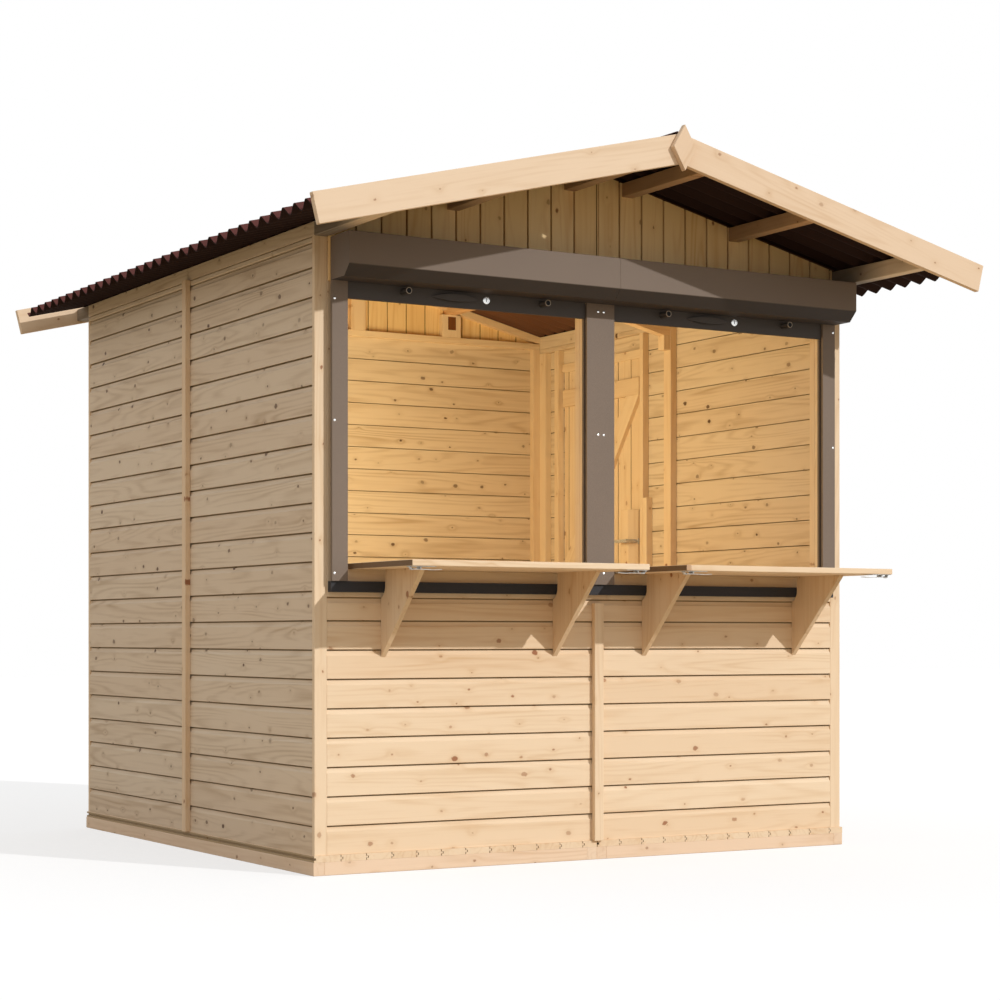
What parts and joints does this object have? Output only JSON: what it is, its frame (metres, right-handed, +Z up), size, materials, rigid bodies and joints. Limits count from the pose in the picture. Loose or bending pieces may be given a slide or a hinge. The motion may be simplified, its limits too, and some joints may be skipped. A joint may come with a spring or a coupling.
{
  "type": "wooden market stall",
  "caption": "Boarded wooden market stall with a corrugated gable roof, serving openings under roller shutter boxes, fold-up counters on brackets, a boarded floor and a side door.",
  "frame": {"origin": "on the ground, under the middle of the floor's footprint", "axes": "-Y towards the customers at the serving front, +X to the right as they see it, +Z up"},
  "size_m": [2.451, 2.61, 2.262],
  "materials": {
    "floor_boards": "raw planed tongue and groove boards",
    "wall_boards": "raw planed shiplap boards with knots",
    "gable_boards": "raw planed upright boards",
    "frame_timber": "raw planed framing timber",
    "trim_timber": "raw planed trim boards",
    "shutter_metal": "satin dark brown coating",
    "dark_metal": "satin near black coating",
    "roof_sheet": "matt dark red corrugated sheet",
    "zinc": "zinc plated"
  },
  "bodies": {
    "stall": {"back_gable": "gable_boards", "back_wall_left": "wall_boards", "back_wall_right": "wall_boards", "back_wall_studs": "frame_timber", "corner_trims": "trim_timber", "counter_brackets": "trim_timber", "cover_battens": "trim_timber", "fascia_left": "trim_timber", "fascia_lozenges": "trim_timber", "fascia_right": "trim_timber", "floor_beams_left": "frame_timber", "floor_beams_right": "frame_timber", "floor_cross_beams": "frame_timber", "floor_left": "floor_boards", "floor_right": "floor_boards", "frame_blocks": "frame_timber", "front_gable": "gable_boards", "front_wall_left": "wall_boards", "front_wall_posts": "frame_timber", "front_wall_right": "wall_boards", "hinge_plates": "zinc", "left_wall_front": "wall_boards", "left_wall_rear": "wall_boards", "left_wall_studs": "frame_timber", "purlins": "frame_timber", "rafters_left": "frame_timber", "rafters_right": "frame_timber", "ridge_cap": "roof_sheet", "right_wall_front": "wall_boards", "right_wall_middle": "wall_boards", "right_wall_over_door": "wall_boards", "right_wall_rear": "wall_boards", "right_wall_studs": "frame_timber", "roof_sheet_left": "roof_sheet", "roof_sheet_right": "roof_sheet", "shutter_bars": "dark_metal", "shutter_box_left": "shutter_metal", "shutter_box_right": "shutter_metal", "shutter_guides": "shutter_metal", "shutter_sill": "dark_metal", "side_wall_plates": "frame_timber", "wall_rails": "frame_timber", "window_sills": "trim_timber"},
    "door": {"door_leaf": "wall_boards", "door_ledges": "trim_timber", "door_lock_blocks": "trim_timber", "door_handles": "zinc", "door_straps": "zinc"},
    "counter_left": {"counter_left": "trim_timber", "counter_hardware_left": "zinc"},
    "counter_right": {"counter_right": "trim_timber", "counter_hardware_right": "zinc"}
  },
  "joints": [
    {"name": "door_hinge", "type": "hinge", "parent": "stall", "child": "door", "pos_m": [1.004, 0.782, 0.96], "axis": [0, 0, 1], "range_deg": [0, 110]},
    {"name": "counter_left_fold", "type": "hinge", "parent": "stall", "child": "counter_left", "pos_m": [-0.477, -0.9285, 0.917], "axis": [-1, 0, 0], "range_deg": [0, 90]},
    {"name": "counter_right_fold", "type": "hinge", "parent": "stall", "child": "counter_right", "pos_m": [0.477, -0.9285, 0.917], "axis": [-1, 0, 0], "range_deg": [0, 90]}
  ]
}
